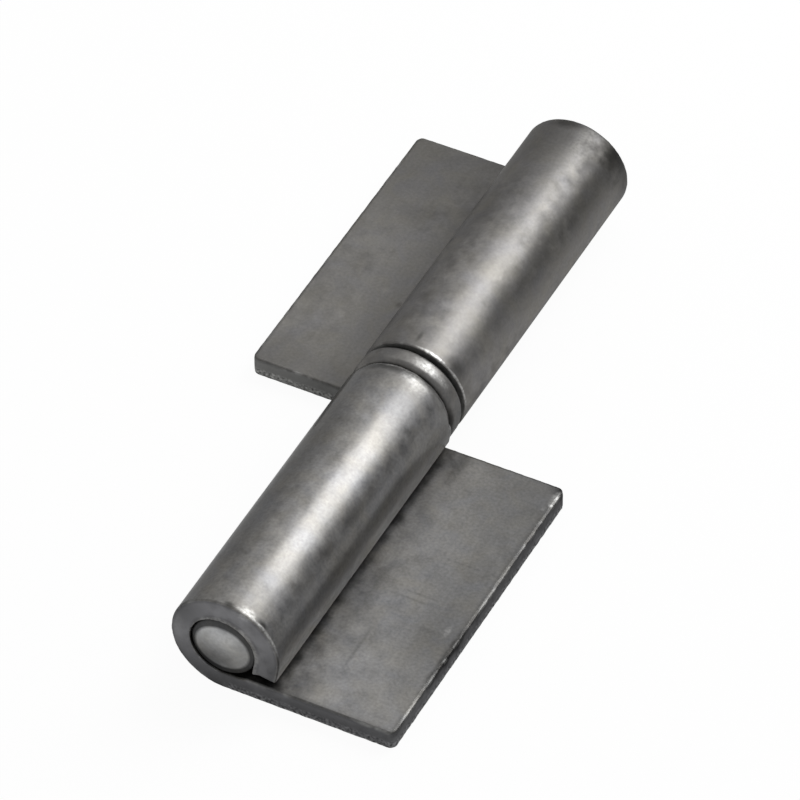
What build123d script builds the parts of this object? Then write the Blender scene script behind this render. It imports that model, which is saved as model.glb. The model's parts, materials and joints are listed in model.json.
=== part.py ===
from build123d import *
import os
from math import asin, cos, degrees, radians, sin

# Weld-on lift-off flag hinge of bare mild steel, lying open and flat, in millimetres.
# The hinge axis runs along Y at the height of the eyes, and both leaves lie on the plane z = 0.
# The origin is on that plane, under the axis, half way along the hinge.

# Leaves: two like blanks of strip, each with one edge rolled over into an eye
leaf_length = 58.0            # along the axis, the same for the plate and its eye
leaf_reach = 28.5             # from the axis to the outer edge of the plate
strip_thickness = 3.5
corner_radius = 1.2           # the two outer corners of each plate, seen from above
sheared_edge_ease = 0.35      # bevel for the eased rim that shearing and tumbling leave
curl_stop_angle = 10.0        # degrees below level where the roll ends and the strip runs straight
seam_gap = 1.4                # between the cut tip of the curl and the top of the plate

# Pin: held fast in the eye of the pin leaf, free in the eye of the socket leaf
pin_diameter = 11.0
pin_running_clearance = 0.08  # on the radius, in the eye that lifts off
pin_end_proud = 0.5           # how far the end of the pin stands out of the end of the pin leaf
pin_engagement = 46.0         # length of pin beyond the ring
pin_head_crown = 0.4          # rise of the cropped end that shows in the pin leaf
pin_head_round = 0.9          # rim of that end
pin_nose_length = 2.4         # taper on the free end, which finds the socket leaf's eye
pin_nose_inset = 1.3

# Bearing ring between the two eyes, which carries the weight of the door
ring_thickness = 3.4
ring_rim_round = 0.9
ring_bore_clearance = 0.2     # on the radius, over the pin
ring_bore_bevel = 0.3
end_play = 0.6                # between the ring and the socket leaf, as the hinge lies

# Sizes and places that follow from the ones above
pin_radius = pin_diameter / 2
bore_radius = pin_radius + pin_running_clearance
eye_radius = bore_radius + strip_thickness
overall_length = 2 * leaf_length + ring_thickness + end_play
pin_leaf_start = -overall_length / 2
ring_start = pin_leaf_start + leaf_length
ring_end = ring_start + ring_thickness
socket_leaf_end = ring_end + end_play + leaf_length
pin_start = pin_leaf_start - pin_end_proud
pin_end = ring_end + pin_engagement


def on_eye(radius, angle):
    """Point of the section on a circle round the axis, at an angle in degrees above level."""
    return Vector(radius * cos(radians(angle)), eye_radius + radius * sin(radians(angle)))


def over_the_top(radius, first_angle, last_angle):
    """Arc of the rolled eye between two angles, by way of the one half way."""
    middle_angle = (first_angle + last_angle) / 2
    return ThreePointArc(on_eye(radius, first_angle), on_eye(radius, middle_angle),
                         on_eye(radius, last_angle))


def leaf_section():
    """Strip seen end on: flat to the outer edge at +X, and rolled over the top at the other edge."""
    roll_start_angle = 270.0
    roll_stop_angle = -curl_stop_angle
    outer_stop = on_eye(eye_radius, roll_stop_angle)
    inner_stop = on_eye(bore_radius, roll_stop_angle)
    tail_way = Vector(sin(radians(roll_stop_angle)), -cos(radians(roll_stop_angle)))
    tail = tail_way * ((outer_stop.Y - strip_thickness - seam_gap) / cos(radians(roll_stop_angle)))
    with BuildSketch(Plane.XZ) as section:
        with BuildLine():
            over_the_top(eye_radius, roll_start_angle, roll_stop_angle)
            Polyline(outer_stop, outer_stop + tail, inner_stop + tail, inner_stop)
            over_the_top(bore_radius, roll_stop_angle, roll_start_angle)
            Polyline(on_eye(bore_radius, roll_start_angle), (leaf_reach, strip_thickness),
                     (leaf_reach, 0), on_eye(eye_radius, roll_start_angle))
        make_face()
    return section.sketch


def leaf():
    """One leaf with its eye along +Y from the origin and its plate towards +X, lying on z = 0."""
    with BuildPart() as blank:
        add(extrude(leaf_section(), amount=-leaf_length))
        outer_edge = blank.faces().sort_by(Axis.X)[-1]
        fillet(outer_edge.edges().filter_by(Axis.Z), radius=corner_radius)
        ends = blank.faces().filter_by(Axis.Y)
        rims = [edge for end in ends for edge in end.edges().filter_by(Axis.Z, reverse=True)]
        chamfer(rims, length=sheared_edge_ease)
    return blank.part


def turned(outline):
    """Solid turned about the hinge axis, from an outline of radius along X and place along Y."""
    return Pos(0, 0, eye_radius) * revolve(outline, axis=Axis.Y)


def pin():
    """Round bar: a crowned cropped end, a tight half, a running half and a tapered nose."""
    crown_radius = (bore_radius**2 + pin_head_crown**2) / (2 * pin_head_crown)
    crown_angle = degrees(asin(bore_radius / crown_radius))
    nose_radius = pin_radius - pin_nose_inset
    with BuildSketch() as outline:
        with BuildLine():
            crown = JernArc((0, pin_start), (1, 0), crown_radius, crown_angle)
            Polyline(crown @ 1, (bore_radius, ring_start), (pin_radius, ring_start),
                     (pin_radius, pin_end - pin_nose_length), (nose_radius, pin_end),
                     (0, pin_end), (0, pin_start))
        make_face()
        fillet(outline.vertices().sort_by_distance(crown @ 1)[0], pin_head_round)
    return turned(outline.sketch)


def ring():
    """Loose turned ring as wide as the eyes, with rounded rims."""
    ring_bore_radius = pin_radius + ring_bore_clearance
    with BuildSketch() as outline:
        with BuildLine():
            Polyline((ring_bore_radius, ring_start), (eye_radius, ring_start),
                     (eye_radius, ring_end), (ring_bore_radius, ring_end), close=True)
        make_face()
        across = outline.vertices().group_by(Axis.X)
        fillet(across[-1], ring_rim_round)
        chamfer(across[0], ring_bore_bevel)
    return turned(outline.sketch)


pieces = {
    "pin_leaf": Pos(0, pin_leaf_start, 0) * leaf(),
    "hinge_pin": pin(),
    "bearing_ring": ring(),
    "socket_leaf": Pos(0, socket_leaf_end, 0) * Rot(0, 0, 180) * leaf(),
}

os.makedirs("parts", exist_ok=True)
for name, piece in pieces.items():
    export_step(piece, f"parts/{name}.step")
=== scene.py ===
import json
import math

import bmesh
import bpy
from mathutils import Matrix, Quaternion, Vector

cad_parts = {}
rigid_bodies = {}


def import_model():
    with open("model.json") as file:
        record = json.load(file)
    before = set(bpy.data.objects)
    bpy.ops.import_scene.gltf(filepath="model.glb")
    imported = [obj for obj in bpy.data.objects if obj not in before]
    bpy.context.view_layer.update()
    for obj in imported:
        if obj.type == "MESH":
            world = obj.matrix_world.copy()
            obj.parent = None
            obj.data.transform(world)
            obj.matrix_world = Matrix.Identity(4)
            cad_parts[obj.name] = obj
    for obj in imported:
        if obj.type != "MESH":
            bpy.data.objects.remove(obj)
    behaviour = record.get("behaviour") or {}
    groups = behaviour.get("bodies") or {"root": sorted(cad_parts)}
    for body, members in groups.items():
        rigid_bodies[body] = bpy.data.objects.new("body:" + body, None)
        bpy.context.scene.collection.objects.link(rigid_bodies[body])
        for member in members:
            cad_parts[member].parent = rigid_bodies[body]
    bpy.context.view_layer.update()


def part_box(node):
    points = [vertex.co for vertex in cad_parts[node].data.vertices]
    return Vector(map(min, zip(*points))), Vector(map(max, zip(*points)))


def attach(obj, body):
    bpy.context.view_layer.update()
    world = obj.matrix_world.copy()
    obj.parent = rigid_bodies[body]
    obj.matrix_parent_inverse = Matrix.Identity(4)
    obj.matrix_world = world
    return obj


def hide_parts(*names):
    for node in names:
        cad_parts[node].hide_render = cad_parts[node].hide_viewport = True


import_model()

# The pin leaf, nearest to the camera.
# One blank of hot-rolled mild steel strip, cropped to length with small round corners. Its inner
# edge is rolled round a mandrel into an eye, and the curl ends in a short straight tail.
MM = 0.001
strip_thickness = 3.5 * MM
corner_radius = 1.2 * MM                     # the plate's two outer corners, seen from above
corner_steps = 8
seam_gap = 1.4 * MM                          # between the cut tip of the curl and the plate
curl_stop_angle = math.radians(10)           # below level, where the roll ends and the tail starts
curl_angle = math.radians(270) + curl_stop_angle
shear_round = 0.28 * MM                      # the rim that shearing and tumbling leave
shear_round_steps = 3
cell = 0.5 * MM                              # spacing of the mesh, fine enough for small dents
rim_cells = (0.15 * MM, 0.35 * MM)           # closer spacing just inside the rims
wall_shares = (0.2, 0.35, 0.5, 0.65, 0.8)    # cuts through the thickness of the strip
bore_narrowing = 0.97                        # this bore is a little tighter and out of centre:
bore_pull_point = (-15 * MM, 0, -7.6 * MM)   # it is drawn to this point, away from the tail
ring_end_narrowing = 0.93                    # how far the eye's end beside the ring is beaten round
ring_end_reach = 1.9 * MM
blank_low, blank_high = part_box("pin_leaf")
eye_radius = -blank_low.x
plate_reach = blank_high.x
leaf_length = blank_high.y - blank_low.y
tail_drop = eye_radius * (1 - math.sin(curl_stop_angle)) - strip_thickness - seam_gap
tail_length = tail_drop / math.cos(curl_stop_angle)


def start_piece(name):
    """Names the primitive just added, puts its place into its mesh and opens it for shaping."""
    piece = bpy.context.object
    piece.name = name
    bpy.ops.object.transform_apply(location=True, rotation=True, scale=True)
    bpy.ops.object.mode_set(mode="EDIT")
    return piece


def select(piece, kind, test):
    """Selects only the edges or faces that pass a test of themselves and their centre."""
    bpy.ops.mesh.select_mode(type=kind)
    bpy.ops.mesh.select_all(action="DESELECT")
    shape = bmesh.from_edit_mesh(piece.data)
    for part in shape.edges if kind == "EDGE" else shape.faces:
        centre = sum((corner.co for corner in part.verts), Vector()) / len(part.verts)
        if test(part, centre):
            part.select_set(True)
    bmesh.update_edit_mesh(piece.data)


def cut_across(axis, places):
    """Bisects the whole mesh with planes across an axis."""
    normal = [float(k == axis) for k in range(3)]
    for place in places:
        bpy.ops.mesh.select_all(action="SELECT")
        bpy.ops.mesh.bisect(plane_co=[place * part for part in normal], plane_no=normal)


def even_places(first, last, spacing):
    """Places at even steps between two ends, with closer ones just inside the rims."""
    steps = round((last - first) / spacing)
    inside = [first + (last - first) * step / steps for step in range(1, steps)]
    near = [shear_round + offset for offset in rim_cells]
    return [first + offset for offset in near] + inside + [last - offset for offset in near]


def remember(piece, name):
    """Keeps the selected faces as a named group of vertices."""
    group = piece.vertex_groups.get(name) or piece.vertex_groups.new(name=name)
    piece.vertex_groups.active_index = group.index
    bpy.ops.object.vertex_group_assign()


def is_outer_corner(edge, centre):
    """The two upright edges at the outer corners of the plate."""
    return centre.x > plate_reach * 0.99 and 0.1 < centre.z / strip_thickness < 0.9


def is_sheared_face(face):
    """The faces that the press tool cut: all sides of the blank but the edge that is rolled."""
    return abs(face.normal.z) < 0.05 and face.normal.x > -0.9


def is_sheared_rim(edge):
    """The edges where a sheared face meets the top or the underside of the strip."""
    beside = edge.link_faces
    return any(is_sheared_face(face) for face in beside) and any(abs(face.normal.z) > 0.9 for face in beside)


def is_burnished_face(face, centre):
    """The upper half of the plate's sheared faces, and the strip that the curl takes its groups from."""
    return is_sheared_face(face) and (centre.z > strip_thickness * 0.5 or centre.x < cell)


# The flat blank, with its groups for what the press tool did
bpy.ops.object.select_all(action="DESELECT")
bpy.ops.mesh.primitive_cube_add(
    size=1,
    location=(plate_reach / 2, (blank_low.y + blank_high.y) / 2, strip_thickness / 2),
    scale=(plate_reach, leaf_length, strip_thickness),
)
pin_leaf = start_piece("pin_leaf_strip")
select(pin_leaf, "EDGE", is_outer_corner)
bpy.ops.mesh.bevel(offset=corner_radius, segments=corner_steps, affect="EDGES")
select(pin_leaf, "EDGE", lambda edge, centre: is_sheared_rim(edge))
bpy.ops.mesh.bevel(offset=shear_round, segments=shear_round_steps, affect="EDGES")
cut_across(1, even_places(blank_low.y, blank_high.y, cell))
cut_across(0, [x for x in even_places(0.0, plate_reach, cell) if x >= cell])
cut_across(2, [strip_thickness * share for share in wall_shares])
select(pin_leaf, "FACE", lambda face, centre: is_sheared_face(face))
remember(pin_leaf, "sheared")
select(pin_leaf, "FACE", is_burnished_face)
remember(pin_leaf, "burnished")
select(pin_leaf, "FACE", lambda face, centre: 0.05 < abs(face.normal.z) < 0.99)
remember(pin_leaf, "rim")
select(pin_leaf, "FACE", lambda face, centre: -0.99 < face.normal.z < -0.05 and centre.x > cell)
remember(pin_leaf, "fringe")

# The roll: the inner edge goes round the axis and down into the tail, whose tip is eased
select(pin_leaf, "FACE", lambda face, centre: face.normal.x < -0.9)
curl_steps = round(curl_angle * eye_radius / cell)
bpy.ops.mesh.spin(steps=curl_steps, angle=-curl_angle, center=(0, 0, eye_radius), axis=(0, 1, 0))
tail_direction = Vector((-math.sin(curl_stop_angle), 0, -math.cos(curl_stop_angle)))
tail_steps = round(tail_length / cell)
for step in range(tail_steps):
    bpy.ops.mesh.extrude_region_move(
        TRANSFORM_OT_translate={"value": tail_direction * (tail_length - shear_round) / tail_steps}
    )
for step in range(shear_round_steps):
    before = math.radians(90) * step / shear_round_steps
    after = math.radians(90) * (step + 1) / shear_round_steps
    rise = shear_round * (math.sin(after) - math.sin(before))
    narrowing = shear_round * (math.cos(before) - math.cos(after))
    bpy.ops.mesh.extrude_region_move(TRANSFORM_OT_translate={"value": tail_direction * rise})
    tip = [face for face in bmesh.from_edit_mesh(pin_leaf.data).faces if face.select]
    corners = {corner for face in tip for corner in face.verts}
    tip_centre = sum((corner.co for corner in corners), Vector()) / len(corners)
    tip_width = strip_thickness - 2 * shear_round * (1 - math.cos(before))
    across = 1 - 2 * narrowing / tip_width
    bpy.ops.transform.resize(
        value=(across, 1 - 2 * narrowing / leaf_length, across), center_override=tip_centre
    )
bpy.ops.mesh.select_more()
bpy.ops.mesh.select_more()
remember(pin_leaf, "rim")
remember(pin_leaf, "sheared")
bpy.ops.mesh.select_all(action="SELECT")
bpy.ops.mesh.remove_doubles(threshold=0.001 * MM)
bpy.ops.mesh.normals_make_consistent(inside=False)
bpy.ops.object.mode_set(mode="OBJECT")
socket_leaf = pin_leaf.copy()
socket_leaf.data = pin_leaf.data.copy()


def wear(piece, group, depth, size):
    """Dents the group's vertices inwards, unevenly, as handling and the press tool leave them."""
    pattern = bpy.data.textures.new(piece.name + "_" + group, type="CLOUDS")
    pattern.noise_scale = size
    pattern.noise_depth = 2
    dent = piece.modifiers.new("wear", "DISPLACE")
    dent.texture = pattern
    dent.texture_coords = "LOCAL"
    dent.vertex_group = group
    dent.strength = -depth
    dent.mid_level = 0.0
    bpy.context.view_layer.objects.active = piece
    bpy.ops.object.modifier_apply(modifier=dent.name)


def is_inside_curl(face, centre):
    """The faces round the bore and down the inner side of the tail, which look at the axis."""
    to_axis = Vector((-centre.x, 0, eye_radius - centre.z))
    near_axis = to_axis.length < eye_radius - 0.75 * strip_thickness
    behind_tail = centre.x > 0 and strip_thickness * 1.05 < centre.z < eye_radius and face.normal.x < -0.5
    return abs(face.normal.y) < 0.9 and (near_axis or behind_tail and to_axis.length < eye_radius)


def is_ring_end_rim(edge, centre):
    """The outer rim of the eye's end that faces the ring, over the top of the curl."""
    from_axis = math.hypot(centre.x, centre.z - eye_radius)
    on_rim = from_axis > eye_radius - 1.1 * shear_round and centre.y > blank_high.y - 1.1 * shear_round
    return on_rim and from_axis < eye_radius * 1.01 and (centre.x < 0 or centre.z > eye_radius)


def finish_surface(piece, *groups):
    """Shades a piece smooth over its rounds, and hands its groups to the material as attributes."""
    bpy.ops.object.select_all(action="DESELECT")
    piece.select_set(True)
    bpy.context.view_layer.objects.active = piece
    bpy.ops.object.shade_smooth_by_angle(angle=math.radians(40))
    shares = {}
    for name in groups:
        index = piece.vertex_groups[name].index
        shares[name] = [
            sum(g.weight for g in corner.groups if g.group == index) for corner in piece.data.vertices
        ]
    piece.vertex_groups.clear()
    for name, values in shares.items():
        piece.data.attributes.new(name, "FLOAT", "POINT").data.foreach_set("value", values)


# This leaf's own bore and worn rims
bpy.context.view_layer.objects.active = pin_leaf
bpy.ops.object.mode_set(mode="EDIT")
select(pin_leaf, "FACE", is_inside_curl)
bpy.ops.transform.resize(value=(bore_narrowing, 1, bore_narrowing), center_override=bore_pull_point)
select(pin_leaf, "EDGE", is_ring_end_rim)
bpy.ops.transform.resize(
    value=(ring_end_narrowing, 1, ring_end_narrowing), center_override=(0, 0, eye_radius),
    use_proportional_edit=True, proportional_edit_falloff="SHARP", proportional_size=ring_end_reach,
)
bpy.ops.object.mode_set(mode="OBJECT")
wear(pin_leaf, "rim", 0.12 * MM, 0.9 * MM)
wear(pin_leaf, "sheared", 0.05 * MM, 0.4 * MM)
finish_surface(pin_leaf, "rim", "sheared", "burnished", "fringe")


def linear(hex_colour):
    """An sRGB hex colour as linear red, green, blue and alpha."""
    parts = [int(hex_colour[k:k + 2], 16) / 255 for k in (1, 3, 5)]
    return [c / 12.92 if c <= 0.04045 else ((c + 0.055) / 1.055) ** 2.4 for c in parts] + [1.0]


def add_node(tree, kind, inputs, output=0, **settings):
    """Adds a node and gives one of its outputs. An input is a value or another node's output."""
    made = tree.nodes.new("ShaderNode" + kind)
    for name, value in settings.items():
        setattr(made, name, value)
    for socket, value in inputs.items():
        if isinstance(value, bpy.types.NodeSocket):
            tree.links.new(value, made.inputs[socket])
        else:
            made.inputs[socket].default_value = value
    return made.outputs[output]


def spread(tree, pattern, low, high):
    """Stretches the middle of a noise pattern, where most of it lies, over a range of values."""
    return add_node(
        tree, "MapRange", {"Value": pattern, "From Min": 0.3, "From Max": 0.7, "To Min": low, "To Max": high}
    )


def mark(tree, place, ragged, centre, reach, edge):
    """A patch of the surface with a ragged edge, by its centre and its reach along each axis in mm."""
    away = add_node(tree, "VectorMath", {0: place, 1: Vector(centre) * MM}, operation="SUBTRACT")
    shares = add_node(tree, "VectorMath", {0: away, 1: Vector(reach) * MM}, operation="DIVIDE")
    far = add_node(tree, "VectorMath", {0: shares}, output="Value", operation="LENGTH")
    torn = add_node(tree, "Math", {0: ragged, 1: -2.0, 2: far}, operation="MULTIPLY_ADD")
    return add_node(
        tree, "MapRange",
        {"Value": torn, "From Min": -edge, "From Max": edge, "To Min": 1.0, "To Max": 0.0},
        interpolation_type="SMOOTHSTEP",
    )


def steel_patterns(tree, place):
    """Noise at the size of what it draws: clouds, mottle and grain of the skin, and lines of the rolls.

    The real grain and lines are finer than 0.1 mm, and are drawn at 0.5 and 0.9 mm, so that they show.
    """
    drawn_out = add_node(tree, "Mapping", {"Vector": place, "Scale": (1, 0.12, 1)})
    clouds = add_node(tree, "TexNoise", {"Vector": place, "Scale": 1 / (9 * MM), "Detail": 3.0})
    mottle = add_node(tree, "TexNoise", {"Vector": place, "Scale": 1 / (2.2 * MM), "Detail": 4.0})
    grain = add_node(tree, "TexNoise", {"Vector": place, "Scale": 1 / (0.5 * MM), "Detail": 3.0})
    lines = add_node(tree, "TexNoise", {"Vector": drawn_out, "Scale": 1 / (0.9 * MM), "Detail": 4.0})
    return clouds, mottle, grain, lines


def skin_colour(tree, place, clouds, layers, base, tinge, mottling):
    """The rolled skin: two close greys in patches of about 5 mm, under lighter and darker layers."""
    patches = add_node(
        tree, "TexNoise", {"Vector": place, "Scale": 1 / (5 * MM), "Detail": 3.0, "Distortion": 0.6}
    )
    share = spread(tree, patches, 0.0, 1.0)
    skin = add_node(tree, "MixRGB", {"Fac": share, "Color1": linear(base), "Color2": linear(tinge)})
    tone = spread(tree, clouds, 1 - 0.08 * mottling, 1 + 0.08 * mottling)
    for pattern, depth in layers:
        layer = spread(tree, pattern, 1 - depth * mottling, 1 + depth * mottling)
        tone = add_node(tree, "Math", {0: tone, 1: layer}, operation="MULTIPLY")
    return add_node(tree, "MixRGB", {"Fac": 1.0, "Color1": skin, "Color2": tone}, blend_type="MULTIPLY")


def cut_colour(tree, mottle, grain, burnished, cut):
    """A sheared face: dark and smooth where the tool rubbed it, coarse and uneven where it tore."""
    smooth_band = spread(tree, mottle, 0.52, 0.7)
    torn_band = add_node(
        tree, "Math", {0: spread(tree, grain, 0.25, 1.5), 1: spread(tree, mottle, 0.75, 1.15)},
        operation="MULTIPLY",
    )
    zone = add_node(tree, "MixRGB", {"Fac": burnished, "Color1": torn_band, "Color2": smooth_band})
    return add_node(
        tree, "MixRGB", {"Fac": 1.0, "Color1": linear(cut), "Color2": zone}, blend_type="MULTIPLY"
    )


def soiling_and_painted_light(tree, place, mottle, rim, rim_tone, stains_and_painted_light):
    """A factor on the tone, for darker rims (dirt on the leaves) and for soft patches, some stained, some
    painted shade and some painted light.
    """
    soiled_and_painted = add_node(tree, "Math", {0: rim, 1: rim_tone - 1.0, 2: 1.0}, operation="MULTIPLY_ADD")
    for centre, reach, factor in stains_and_painted_light:
        soft = mark(tree, place, mottle, centre, reach, 0.9)
        tone_patch = add_node(tree, "MapRange", {"Value": soft, "To Min": 1.0, "To Max": factor})
        soiled_and_painted = add_node(tree, "Math", {0: soiled_and_painted, 1: tone_patch}, operation="MULTIPLY")
    return soiled_and_painted


def rubbing_and_painted_highlights(tree, place, mottle, grain, rim, fringe, rim_shine, scuffs_and_painted_highlights):
    """How far the steel is made bright: worn in spots along the rims, on the torn fringe and at bright
    patches; the fringe's brightness is partly painted reflection of the floor, and some patches are painted
    highlights.
    """
    shine = {"Value": mottle, "From Min": 0.5, "From Max": 0.75, "To Max": rim_shine}
    rubbed_and_highlit = add_node(tree, "Math", {0: rim, 1: add_node(tree, "MapRange", shine)}, operation="MULTIPLY")
    # Bright specks on the torn fringe: partly a burr, partly painted reflection of the white floor below it
    burr_and_floor_glint = add_node(tree, "Math", {0: fringe, 1: spread(tree, grain, -0.4, 0.62)}, operation="MULTIPLY")
    rubbed_and_highlit = add_node(tree, "Math", {0: rubbed_and_highlit, 1: burr_and_floor_glint}, operation="MAXIMUM")
    for centre, reach, strength in scuffs_and_painted_highlights:
        bright_patch = mark(tree, place, mottle, centre, reach, 0.8)
        speckle = spread(tree, grain, 0.2 * strength, strength)
        bright_patch = add_node(tree, "Math", {0: bright_patch, 1: speckle}, operation="MULTIPLY", use_clamp=True)
        rubbed_and_highlit = add_node(tree, "Math", {0: rubbed_and_highlit, 1: bright_patch}, operation="MAXIMUM")
    return rubbed_and_highlit


def steel_relief(tree, clouds, layers, grain, sheared):
    """The height of the surface: gentle waves, shallow pits and lines, and a coarse grain where cut."""
    relief = add_node(tree, "Math", {0: clouds, 1: 0.07 * MM}, operation="MULTIPLY")
    for pattern, height in layers:
        relief = add_node(tree, "Math", {0: pattern, 1: height * MM, 2: relief}, operation="MULTIPLY_ADD")
    coarse = add_node(tree, "Math", {0: sheared, 1: grain}, operation="MULTIPLY")
    return add_node(tree, "Math", {0: coarse, 1: 0.02 * MM, 2: relief}, operation="MULTIPLY_ADD")


def bare_steel(
    name, base, tinge, cut, roughness, mottling=1.0, oil=0.0, rim_tone=0.85, rim_shine=0.25,
    stains_and_painted_light=(), scuffs_and_painted_highlights=(), dulled=(),
):
    """Bare mild steel, rolled and oiled: mottled grey, rubbed bright in places, dull where it was cut.

    Stained patches, painted shade and painted light are soft patches with a factor on the tone; worn bright
    marks and painted highlights are bright ragged ones; and dulled ones only spread the shine.
    """
    steel = bpy.data.materials.new(name)
    steel.use_nodes = True
    tree = steel.node_tree
    shader = tree.nodes["Principled BSDF"]
    shader.inputs["Metallic"].default_value = 1.0
    shader.inputs["Specular Tint"].default_value = (0.5, 0.5, 0.5, 1.0)
    shader.inputs["Coat Roughness"].default_value = 0.15
    place = add_node(tree, "TexCoord", {}, output="Object")
    clouds, mottle, grain, lines = steel_patterns(tree, place)
    rim, sheared, burnished, fringe = [
        add_node(tree, "Attribute", {}, output="Fac", attribute_name=zone)
        for zone in ("rim", "sheared", "burnished", "fringe")
    ]

    layers = ((mottle, 0.13), (grain, 0.1), (lines, 0.04))
    rolled = skin_colour(tree, place, clouds, layers, base, tinge, mottling)
    cut_face = cut_colour(tree, mottle, grain, burnished, cut)
    surface = add_node(tree, "MixRGB", {"Fac": sheared, "Color1": rolled, "Color2": cut_face})
    soiled_and_painted = soiling_and_painted_light(tree, place, mottle, rim, rim_tone, stains_and_painted_light)
    surface = add_node(
        tree, "MixRGB", {"Fac": 1.0, "Color1": surface, "Color2": soiled_and_painted}, blend_type="MULTIPLY"
    )
    rubbed_and_highlit = rubbing_and_painted_highlights(tree, place, mottle, grain, rim, fringe, rim_shine, scuffs_and_painted_highlights)
    colour = add_node(tree, "MixRGB", {"Fac": rubbed_and_highlit, "Color1": surface, "Color2": linear("#d8d8d6")})
    tree.links.new(colour, shader.inputs["Base Color"])

    rough = spread(tree, mottle, roughness - 0.05, roughness + 0.05)
    for centre, reach in dulled:
        dull = mark(tree, place, mottle, centre, reach, 0.9)
        rough = add_node(tree, "Math", {0: dull, 1: 0.14, 2: rough}, operation="MULTIPLY_ADD")
    for zone, change in ((sheared, 0.12), (rim, 0.1), (rubbed_and_highlit, -0.15)):
        rough = add_node(tree, "Math", {0: zone, 1: change, 2: rough}, operation="MULTIPLY_ADD")
    tree.links.new(rough, shader.inputs["Roughness"])

    oiled = spread(tree, mottle, 0.4 * oil, oil)
    dry = add_node(tree, "Math", {0: sheared, 1: rim}, operation="MAXIMUM")
    oiled = add_node(tree, "Math", {0: dry, 1: -1.0, 2: oiled}, operation="MULTIPLY_ADD", use_clamp=True)
    tree.links.new(oiled, shader.inputs["Coat Weight"])

    heights = ((mottle, 0.010), (grain, 0.0035), (lines, 0.004))
    relief = steel_relief(tree, clouds, heights, grain, sheared)
    bump = add_node(tree, "Bump", {"Strength": 1.0, "Distance": 1.0, "Height": relief})
    tree.links.new(bump, shader.inputs["Normal"])
    return steel


def on_eye(angle, along, radius=eye_radius / MM):
    """A point in mm on a round that stands on the plates' plane, as the eye does.

    The angle is in degrees above level. A radius a little under the eye's reaches into a rim.
    """
    turn = math.radians(angle)
    return (radius * math.cos(turn), along, radius * (1 + math.sin(turn)))


# Hot-rolled strip with a trace of oil: a mottled mid grey with a soft glow and light, worn rims
pin_leaf_steel = bare_steel(
    "pin_leaf_mild_steel", base="#707071", tinge="#75736f", cut="#8e8e90", roughness=0.38,
    mottling=1.3, oil=0.35,
    stains_and_painted_light=[
        # Painted shade: darker skin down the eye's side by the tail and seam, and on the eye's far flank;
        # and painted light: a paler strip of plate beside the seam that lifts the shade there
        (on_eye(-8, -31), (2.6, 34, 2.7), 0.36),
        (on_eye(146, -31), (3.4, 36, 3.4), 0.42),
        (on_eye(18, -44), (2.6, 24, 3.2), 0.84),
        ((9.6, -31, 3.5), (1.4, 34, 0.8), 1.3),
        # Wide patches on the plate: lighter at its near end, darker at its outer side and towards the ring,
        # and one darker cloud
        ((16, -54, 3.5), (12, 8, 2), 1.1),
        ((27.5, -22, 3.5), (7, 30, 2), 0.66),
        ((18, -3, 3.5), (14, 9, 2), 0.8),
        ((24.5, -38.5, 3.5), (2.6, 3.8, 2), 0.85),
        # Dark scratches and a spot on the plate
        ((15.4, -46, 3.5), (0.3, 4.2, 1), 0.7),
        ((14, -45.5, 3.5), (1.0, 1.0, 1), 0.8),
        ((18.4, -33.7, 3.5), (3.4, 0.24, 1), 0.8),
        ((19, -32.3, 3.5), (2.2, 0.2, 1), 0.8),
        ((22, -23.7, 3.5), (2.6, 0.2, 1), 0.84),
        ((23.4, -38.6, 3.5), (1.7, 0.4, 1), 0.84),
        # Dirt along the plate's outer rim and on its outer sheared face, and painted shade on the lower part
        # of the near end faces of the plate and the eye
        ((28.5, -42, 3.3), (0.8, 8.5, 0.9), 0.16),
        ((28.2, -15, 3.4), (0.6, 20, 0.8), 0.72),
        ((27.9, -2.6, 3.4), (1.4, 1.3, 0.7), 0.3),
        ((28.4, -57.5, 3.3), (0.6, 3.5, 0.7), 0.45),
        ((28.6, -31, 0.9), (0.6, 44, 1.6), 0.62),
        ((2, -60, 0), (34, 0.7, 5.0), 0.55),
        # Painted light on the cut face of the eye's near end, paler most in its middle, and dark nicks in
        # the rims of both its ends
        ((1.5, -60.3, 11), (11, 0.7, 8.5), 1.6),
        (on_eye(47, -59.1), (0.8, 0.5, 0.8), 0.25),
        (on_eye(84, -59.4), (0.8, 0.45, 0.8), 0.3),
        (on_eye(110, -3.4), (6.5, 0.8, 2.4), 0.4),
    ],
    scuffs_and_painted_highlights=[
        # The rims of the eye's two ends, worn bright; the marks at 66 and 68 degrees, where the softbox
        # shows, are partly painted highlight
        (on_eye(66, -59.3), (1.5, 0.7, 0.8), 0.5),
        (on_eye(44, -59.5), (3.4, 0.22, 4.2), 0.7),
        (on_eye(68, -3.3, 8.9), (2.2, 1.7, 1.0), 0.45),
        (on_eye(112, -2.45, 8.7), (6.5, 0.42, 2.6), 1.0),
        (on_eye(22, -2.4, 8.7), (1.8, 0.34, 4.6), 0.7),
        ((-8.1, -60, 10.6), (0.9, 0.4, 2.2), 0.08),
        # The plate's outer rim and far corner
        ((26, -37.2, 3.5), (0.35, 1.1, 1), 0.14),
        ((28.3, -55, 3.4), (0.25, 2.2, 0.5), 0.2),
        ((27.9, -4.6, 3.45), (0.5, 1.2, 0.5), 0.35),
        ((28.0, -6.3, 3.45), (0.25, 0.4, 0.5), 0.5),
        ((27.3, -7.4, 3.5), (0.3, 0.5, 0.5), 0.16),
    ],
    dulled=[(on_eye(66, -2), (9, 10, 9)), (on_eye(66, -60), (9, 8, 9))],
)
pin_leaf.data.materials.append(pin_leaf_steel)
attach(pin_leaf, "pin_leaf")
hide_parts("pin_leaf")

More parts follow.
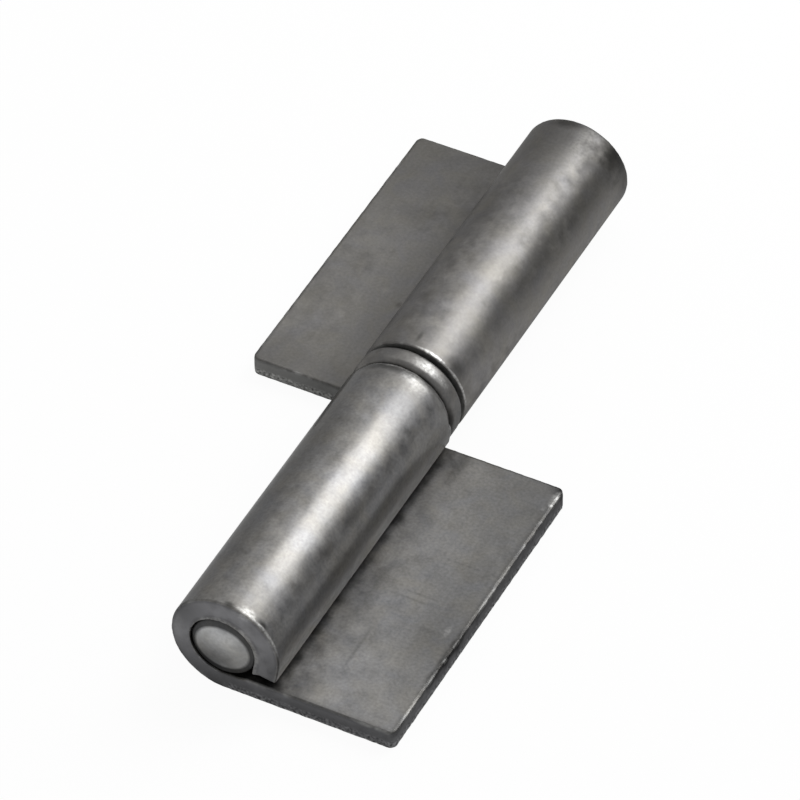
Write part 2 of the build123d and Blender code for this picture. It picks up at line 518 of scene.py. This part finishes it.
# The hinge pin.
# A length of bright drawn round bar, cropped to length and driven into the pin leaf's eye, where
# its slightly crowned end shows. Its other half, with a tapered nose, carries the socket leaf.
pin_radius = 5.5 * MM
pin_crown = 0.4 * MM                         # rise of the cropped end
pin_round = 0.9 * MM                         # rim of the cropped end
crown_steps = 8
head_shift = -0.25 * MM                      # the cropped end lies a little out of centre
head_stretch = (1.04, 1, 0.92)               # and is not quite round
head_depth = 0.5 * MM                        # side of the bar that is dented with its end
nose_length = 2.4 * MM
nose_inset = 1.3 * MM
pin_cell = 1.0 * MM
round_steps = 5
turned_sides = 128
tolerance = 0.01 * MM
pin_low, pin_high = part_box("hinge_pin")
head_start = pin_low.y + pin_crown
head_end = head_start + pin_round
nose_start = pin_high.y - nose_length


def start_bar(name, radius, low_y, high_y):
    """Starts a piece from a round bar on the hinge axis."""
    bpy.ops.object.select_all(action="DESELECT")
    bpy.ops.mesh.primitive_cylinder_add(
        vertices=turned_sides, radius=radius, depth=high_y - low_y,
        location=(0, (low_y + high_y) / 2, eye_radius), rotation=(math.radians(90), 0, 0),
    )
    return start_piece(name)


def is_head_rim(edge, centre):
    """The round edge where the bar's side meets its cropped end."""
    return all(abs(corner.co.y - head_start) < tolerance for corner in edge.verts)


def is_head_disc(face, centre):
    """The flat disc inside the cropped end's rim."""
    return face.normal.y < -0.99 and len(face.verts) == turned_sides


hinge_pin = start_bar("hinge_pin_bar", pin_radius, head_start, nose_start)
select(hinge_pin, "FACE", lambda face, centre: face.normal.y > 0.9)
bpy.ops.mesh.extrude_region_move(TRANSFORM_OT_translate={"value": (0, nose_length, 0)})
bpy.ops.transform.resize(
    value=(1 - nose_inset / pin_radius, 1, 1 - nose_inset / pin_radius),
    center_override=(0, pin_high.y, eye_radius),
)
select(hinge_pin, "EDGE", is_head_rim)
bpy.ops.mesh.bevel(offset=pin_round, segments=round_steps, affect="EDGES")
select(hinge_pin, "FACE", is_head_disc)
for step in range(crown_steps):
    outer = 1 - step / (crown_steps + 1)
    inner = 1 - (step + 1) / (crown_steps + 1)
    bpy.ops.mesh.inset(
        thickness=(pin_radius - pin_round) * (outer - inner),
        depth=pin_crown * (outer ** 2 - inner ** 2),
    )
select(hinge_pin, "FACE", lambda face, centre: head_start + tolerance < centre.y < head_end)
remember(hinge_pin, "rim")
cut_across(1, even_places(head_end, nose_start, pin_cell))
select(hinge_pin, "FACE", lambda face, centre: centre.y < head_end)
bpy.ops.transform.translate(value=(head_shift, 0, head_shift))
select(hinge_pin, "FACE", lambda face, centre: centre.y < head_start + tolerance)
bpy.ops.transform.resize(value=head_stretch, center_override=(head_shift, 0, eye_radius + head_shift))
select(hinge_pin, "FACE", lambda face, centre: centre.y < head_end + head_depth)
remember(hinge_pin, "cropped")
bpy.ops.mesh.select_all(action="SELECT")
bpy.ops.mesh.normals_make_consistent(inside=False)
bpy.ops.object.mode_set(mode="OBJECT")
wear(hinge_pin, "cropped", 0.08 * MM, 1.6 * MM)
finish_surface(hinge_pin, "rim")

# Bright drawn bar: a paler and more even grey, with the rim round the cropped end painted much darker
drawn_bar_steel = bare_steel(
    "drawn_bar_steel", base="#98999b", tinge="#9a9996", cut="#868685", roughness=0.42, mottling=0.8,
    rim_tone=0.2, rim_shine=0.0,
    stains_and_painted_light=[
        # Painted shade on the lower left of the cropped end, and painted light on its upper middle
        ((-2.6, -60.3, 5.6), (3.2, 1.5, 2.4), 0.45),
        ((-0.8, -60.3, 11.4), (2.4, 1.5, 1.8), 1.35),
    ],
)
hinge_pin.data.materials.append(drawn_bar_steel)
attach(hinge_pin, "pin_leaf")
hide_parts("hinge_pin")

# The bearing ring.
# A loose steel ring on the pin between the two eyes. It is turned from bar, with well-rounded
# outer rims, and it keeps the eyes apart and carries the weight of the upper leaf.
ring_bore_radius = 5.7 * MM
ring_rim_round = 0.9 * MM
ring_bore_bevel = 0.3 * MM
ring_low, ring_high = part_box("bearing_ring")
ring_radius = ring_high.x


def is_ring_rim(edge, radius):
    """The round edges where a flat side meets the outside or the bore."""
    from_axis = [math.hypot(corner.co.x, corner.co.z - eye_radius) for corner in edge.verts]
    along = abs(edge.verts[0].co.y - edge.verts[1].co.y)
    return all(abs(r - radius) < tolerance for r in from_axis) and along < tolerance


bearing_ring = start_bar("bearing_ring_turned", ring_radius, ring_low.y, ring_high.y)
select(bearing_ring, "FACE", lambda face, centre: abs(face.normal.y) > 0.9)
bpy.ops.mesh.inset(thickness=ring_radius - ring_bore_radius, use_individual=True)
bpy.ops.mesh.bridge_edge_loops()
select(bearing_ring, "EDGE", lambda edge, centre: is_ring_rim(edge, ring_bore_radius))
bpy.ops.mesh.bevel(offset=ring_bore_bevel, segments=2, affect="EDGES")
select(bearing_ring, "EDGE", lambda edge, centre: is_ring_rim(edge, ring_radius))
bpy.ops.mesh.bevel(offset=ring_rim_round, segments=round_steps, affect="EDGES")
remember(bearing_ring, "rim")
bpy.ops.mesh.select_all(action="SELECT")
bpy.ops.mesh.normals_make_consistent(inside=False)
bpy.ops.object.mode_set(mode="OBJECT")
finish_surface(bearing_ring, "rim")

# Turned bar, rubbed by both leaves: an even mid grey, with bright spots on its crown, partly rubbed and
# partly painted highlight
turned_ring_steel = bare_steel(
    "turned_ring_steel", base="#717171", tinge="#74726f", cut="#747473", roughness=0.4,
    rim_tone=0.9, rim_shine=0.0,
    scuffs_and_painted_highlights=[(on_eye(64, -0.5), (2.2, 0.9, 1.2), 0.42), (on_eye(44, -0.4), (0.9, 0.5, 1.0), 0.35)],
)
bearing_ring.data.materials.append(turned_ring_steel)
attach(bearing_ring, "bearing_ring")
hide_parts("bearing_ring")

# The socket leaf, which lifts off.
# It is the same rolled blank as the pin leaf, turned half round, so that its plate lies on the
# other side of the axis. Its eye is left open, and slides over the pin's free half.
bpy.context.scene.collection.objects.link(socket_leaf)
socket_leaf.name = "socket_leaf_strip"
bpy.ops.object.select_all(action="DESELECT")
socket_leaf.select_set(True)
bpy.context.view_layer.objects.active = socket_leaf
socket_leaf.rotation_euler.z = math.radians(180)
bpy.ops.object.transform_apply(location=True, rotation=True, scale=True)
wear(socket_leaf, "rim", 0.1 * MM, 0.9 * MM)
wear(socket_leaf, "sheared", 0.05 * MM, 0.4 * MM)
finish_surface(socket_leaf, "rim", "sheared", "burnished")

# Drier hot-rolled strip: a little darker and duller, less mottled, with a browner plate
socket_leaf_steel = bare_steel(
    "socket_leaf_mild_steel", base="#6c6b6b", tinge="#6f6d69", cut="#9e9e9c", roughness=0.46, mottling=0.8,
    stains_and_painted_light=[
        # Painted shade on the plate beside the eye, wide darker patches at its far end and near edge, and
        # small spots
        ((-11.5, 31, 3.5), (5, 40, 2), 0.69),
        ((-19, 60, 3.5), (14, 14, 2), 0.72),
        ((-20, 3, 3.5), (14, 4, 2), 0.84),
        ((-13.3, 23, 3.5), (0.5, 0.5, 1), 0.7),
        ((-19.5, 43, 3.5), (2.6, 2.2, 2), 0.85),
        ((-20.5, 17, 3.5), (0.7, 0.7, 1), 1.2),
        ((-19.7, 21, 3.5), (0.6, 0.7, 1), 1.15),
        ((-16.6, 25, 3.5), (0.7, 0.6, 1), 1.15),
        # Painted reflection and highlight along the eye: a dark band where the dark side of the room shows
        # in it, a paler bulge and darker notches that shape the highlight's edges, and the highlight dimmed
        # near the far end
        (on_eye(33, 40), (3.4, 22, 3.4), 0.58),
        (on_eye(92, 21), (3.2, 11, 2), 1.3),
        (on_eye(50, 19), (1.3, 3.2, 2), 0.75),
        (on_eye(53, 34), (1.2, 4.5, 2), 0.8),
        (on_eye(66, 57), (7, 7, 6), 0.74),
        # Dirt near the eye's two ends
        (on_eye(90, 4.5), (0.3, 1.0, 0.5), 0.6),
        (on_eye(44, 3.6), (1.7, 1.3, 2.0), 0.55),
        (on_eye(97, 59.3), (2.2, 1.0, 1.2), 0.5),
        (on_eye(42, 58.8), (1.6, 2.6, 1.9), 0.5),
        (on_eye(18, 61), (5, 4.0, 5.5), 0.6),
        # The plate's near sheared face made darker, and a painted reflection of the white floor that makes
        # the eye's side over the floor paler
        ((-13, 1.9, 0.9), (7, 0.6, 2.2), 0.75),
        (on_eye(2, 31), (2.6, 36, 4), 1.5),
    ],
    scuffs_and_painted_highlights=[
        # The eye's near rim: a bright burr line, partly painted highlight, and a worn line; and a painted
        # highlight near the far end of the eye's highlight streak
        (on_eye(66, 2.4), (3.0, 0.24, 1.8), 1.0),
        (on_eye(32, 2.35), (2.8, 0.16, 4.4), 0.7),
        (on_eye(72, 57), (1.7, 3.6, 1.2), 0.06),
    ],
    dulled=[(on_eye(66, 66), (9, 8, 9))],
)
socket_leaf.data.materials.append(socket_leaf_steel)
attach(socket_leaf, "socket_leaf")
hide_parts("socket_leaf")

# The studio.
# A white floor, one softbox behind and above the hinge, a weak fill and pale surroundings.
floor_size = 8.0
floor_drop = 0.02 * MM
paper_white = {                              # share of pure white in each ray that meets the paper
    "Is Camera Ray": 0.95, "Is Glossy Ray": 0.35, "Is Transmission Ray": 0.35,
}
softbox_way = Vector((0.323, 0.635, 0.702)).normalized()
softbox_distance = 0.8
softbox_width = 0.4
softbox_length = 0.6
softbox_brightness = 6.9
fill_place = Vector((-0.12, 0.20, 0.38))
fill_size = 0.3
fill_brightness = 0.7
dark_way = (0.78, 0.62, 0.05)                # the side where the room is darker
pale_level = 0.62
dark_level = 0.26

bpy.ops.object.select_all(action="DESELECT")
bpy.ops.mesh.primitive_plane_add(size=floor_size, location=(0, 0, -floor_drop))
floor = bpy.context.object
floor.name = "floor"
bpy.ops.object.transform_apply(location=True, rotation=True, scale=True)
paper = bpy.data.materials.new("matt_white_paper")
paper.use_nodes = True
tree = paper.node_tree
tree.nodes.remove(tree.nodes["Principled BSDF"])
matt = add_node(tree, "BsdfDiffuse", {"Color": linear("#e0e0e0")})
white = add_node(tree, "Emission", {"Color": (1, 1, 1, 1), "Strength": 1.0})
rays = tree.nodes.new("ShaderNodeLightPath")
share = 0.0
for ray, strength in paper_white.items():
    shown = add_node(tree, "Math", {0: rays.outputs[ray], 1: strength}, operation="MULTIPLY")
    share = add_node(tree, "Math", {0: share, 1: shown}, operation="MAXIMUM")
mixed = add_node(tree, "MixShader", {0: share, 1: matt, 2: white})
tree.links.new(mixed, tree.nodes["Material Output"].inputs["Surface"])
floor.data.materials.append(paper)


def hang_panel(name, place, width, length, brightness):
    """Hangs a soft panel that faces the hinge. Its brightness is what a mirror would show of it."""
    panel = bpy.data.objects.new(name, bpy.data.lights.new(name, "AREA"))
    panel.data.shape = "RECTANGLE"
    panel.data.size = width
    panel.data.size_y = length
    panel.data.energy = brightness * math.pi * width * length
    panel.location = place
    panel.rotation_euler = place.to_track_quat("Z", "Y").to_euler()
    panel.visible_camera = False
    bpy.context.scene.collection.objects.link(panel)


hang_panel("softbox", softbox_way * softbox_distance, softbox_width, softbox_length, softbox_brightness)
hang_panel("fill_panel", fill_place, fill_size, fill_size, fill_brightness)

surroundings = bpy.data.worlds.new("pale_studio")
surroundings.use_nodes = True
tree = surroundings.node_tree
way = add_node(tree, "TexCoord", {}, output="Generated")
dark_side = add_node(tree, "VectorMath", {0: way, 1: dark_way}, output="Value", operation="DOT_PRODUCT")
level = add_node(
    tree, "MapRange",
    {"Value": dark_side, "From Min": 0.5, "From Max": 1.0, "To Min": pale_level, "To Max": dark_level},
    interpolation_type="SMOOTHSTEP",
)
tree.links.new(level, tree.nodes["Background"].inputs["Color"])
bpy.context.scene.world = surroundings

# The camera stands where the photograph was taken: in front and above, a little to the right.
view_azimuth = math.radians(27.508)
view_elevation = math.radians(44.313)
view_roll = math.radians(-0.518)
view_distance = 1094.467 * MM
view_target = Vector((-2.541, 2.581, 5.0)) * MM
view_back = Vector((
    math.sin(view_azimuth) * math.cos(view_elevation),
    -math.cos(view_azimuth) * math.cos(view_elevation),
    math.sin(view_elevation),
))
camera = bpy.data.objects.new("camera", bpy.data.cameras.new("camera"))
camera.data.sensor_width = 36.0
camera.data.lens = 316.24
camera.rotation_mode = "QUATERNION"
camera.location = view_target + view_back * view_distance
camera.rotation_quaternion = (-view_back).to_track_quat("-Z", "Y") @ Quaternion((0, 0, 1), view_roll)
bpy.context.scene.collection.objects.link(camera)
bpy.context.scene.camera = camera
bpy.context.scene.view_settings.view_transform = "Standard"
